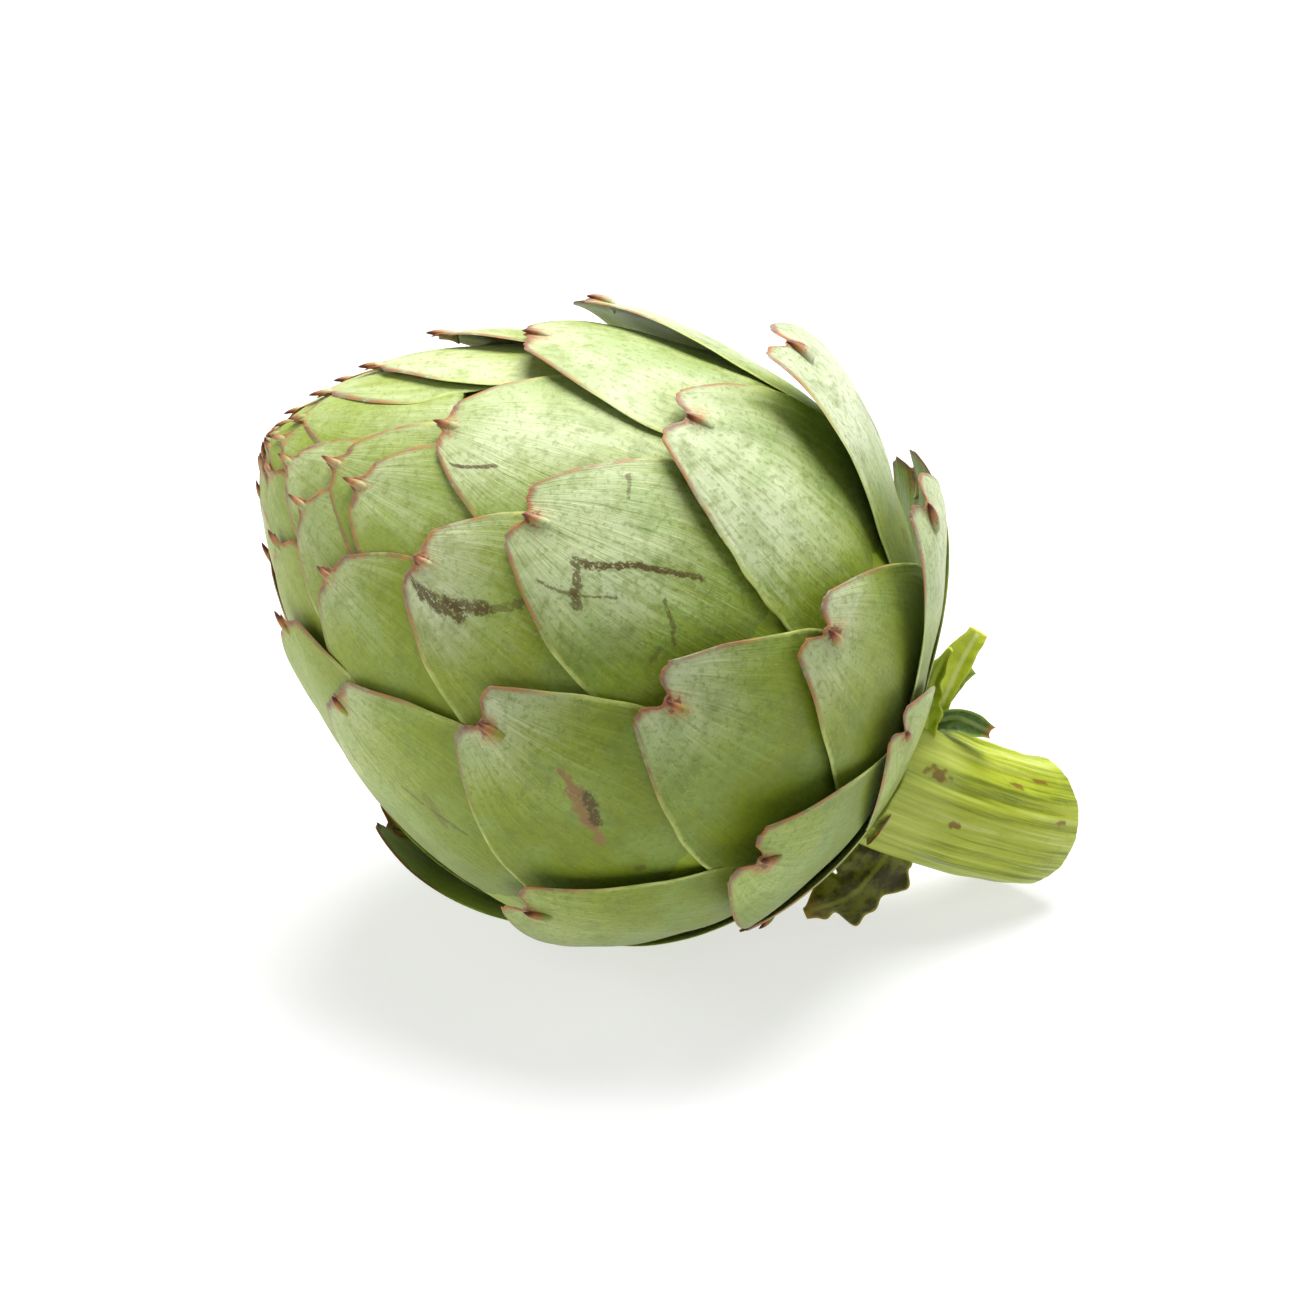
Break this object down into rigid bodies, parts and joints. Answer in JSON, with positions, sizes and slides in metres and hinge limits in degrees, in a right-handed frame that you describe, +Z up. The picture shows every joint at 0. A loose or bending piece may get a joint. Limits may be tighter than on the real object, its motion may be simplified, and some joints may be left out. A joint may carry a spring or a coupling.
{
  "type": "artichoke",
  "caption": "Green globe artichoke lying on its side, with overlapping notched bracts around an egg-shaped head and a short ribbed stalk with small leaves",
  "frame": {"origin": "a point on the small flat spot of the lowest bracts, on which the head rests", "axes": "+Z up from the table. +X along the table from the head's tip towards the stalk. +Y to the side that the stalk bends to"},
  "size_m": [0.132, 0.0999, 0.1015],
  "materials": {
    "bracts": "pale waxy green, smooth, with yellow-green covered parts and thin pink-brown edges",
    "stalk": "yellow-green, ribbed lengthwise, slightly glossy, with a few brown spots",
    "small_leaves": "bright yellow-green, soft",
    "dark_leaves": "dark olive green, crumpled"
  },
  "bodies": {
    "root": {"head": "bracts", "stalk": "stalk", "upper_leaf": "small_leaves", "cut_leaf": "small_leaves", "side_lobe": "small_leaves", "curled_leaf": "dark_leaves", "lower_leaf": "dark_leaves"}
  },
  "joints": []
}
